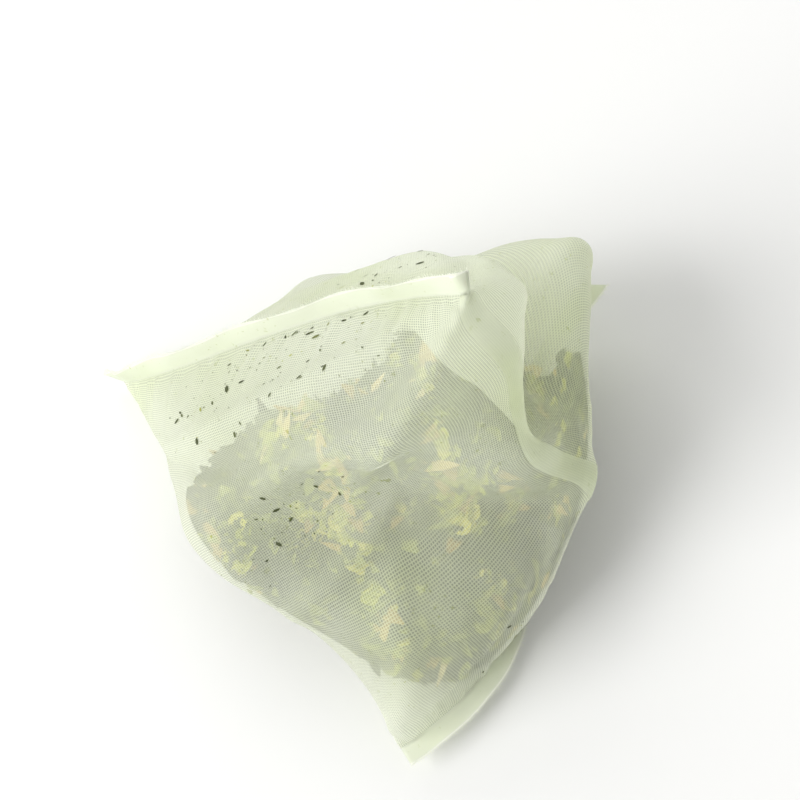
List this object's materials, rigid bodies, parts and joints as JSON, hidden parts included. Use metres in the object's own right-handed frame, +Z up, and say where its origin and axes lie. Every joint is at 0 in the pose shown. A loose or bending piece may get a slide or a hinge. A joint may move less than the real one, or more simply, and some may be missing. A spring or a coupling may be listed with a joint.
{
  "type": "tea bag",
  "caption": "Pyramid tea bag of fine translucent woven net with welded ends, lying on one panel, with loose leaf tea and stems inside.",
  "frame": {"origin": "middle of the bag's outline on the surface that it rests on", "axes": "+Z up from the resting face, +Y from the front weld towards the rear corner, +X to the right along the front weld, seen from the front"},
  "size_m": [0.0628, 0.07, 0.0436],
  "materials": {
    "net": "matte",
    "tea": "matte",
    "leaf": "matte",
    "stem": "matte"
  },
  "bodies": {
    "root": {"net_bag": "net", "tea_heap": "tea", "leaf_01": "leaf", "leaf_02": "leaf", "leaf_03": "leaf", "leaf_04": "leaf", "leaf_05": "leaf", "leaf_06": "leaf", "leaf_07": "leaf", "leaf_08": "leaf", "leaf_09": "leaf", "leaf_10": "leaf", "leaf_11": "leaf", "leaf_12": "leaf", "leaf_13": "leaf", "leaf_14": "leaf", "stem_01": "stem", "stem_02": "stem", "stem_03": "stem", "stem_04": "stem", "stem_05": "stem", "stem_06": "stem"}
  },
  "joints": []
}
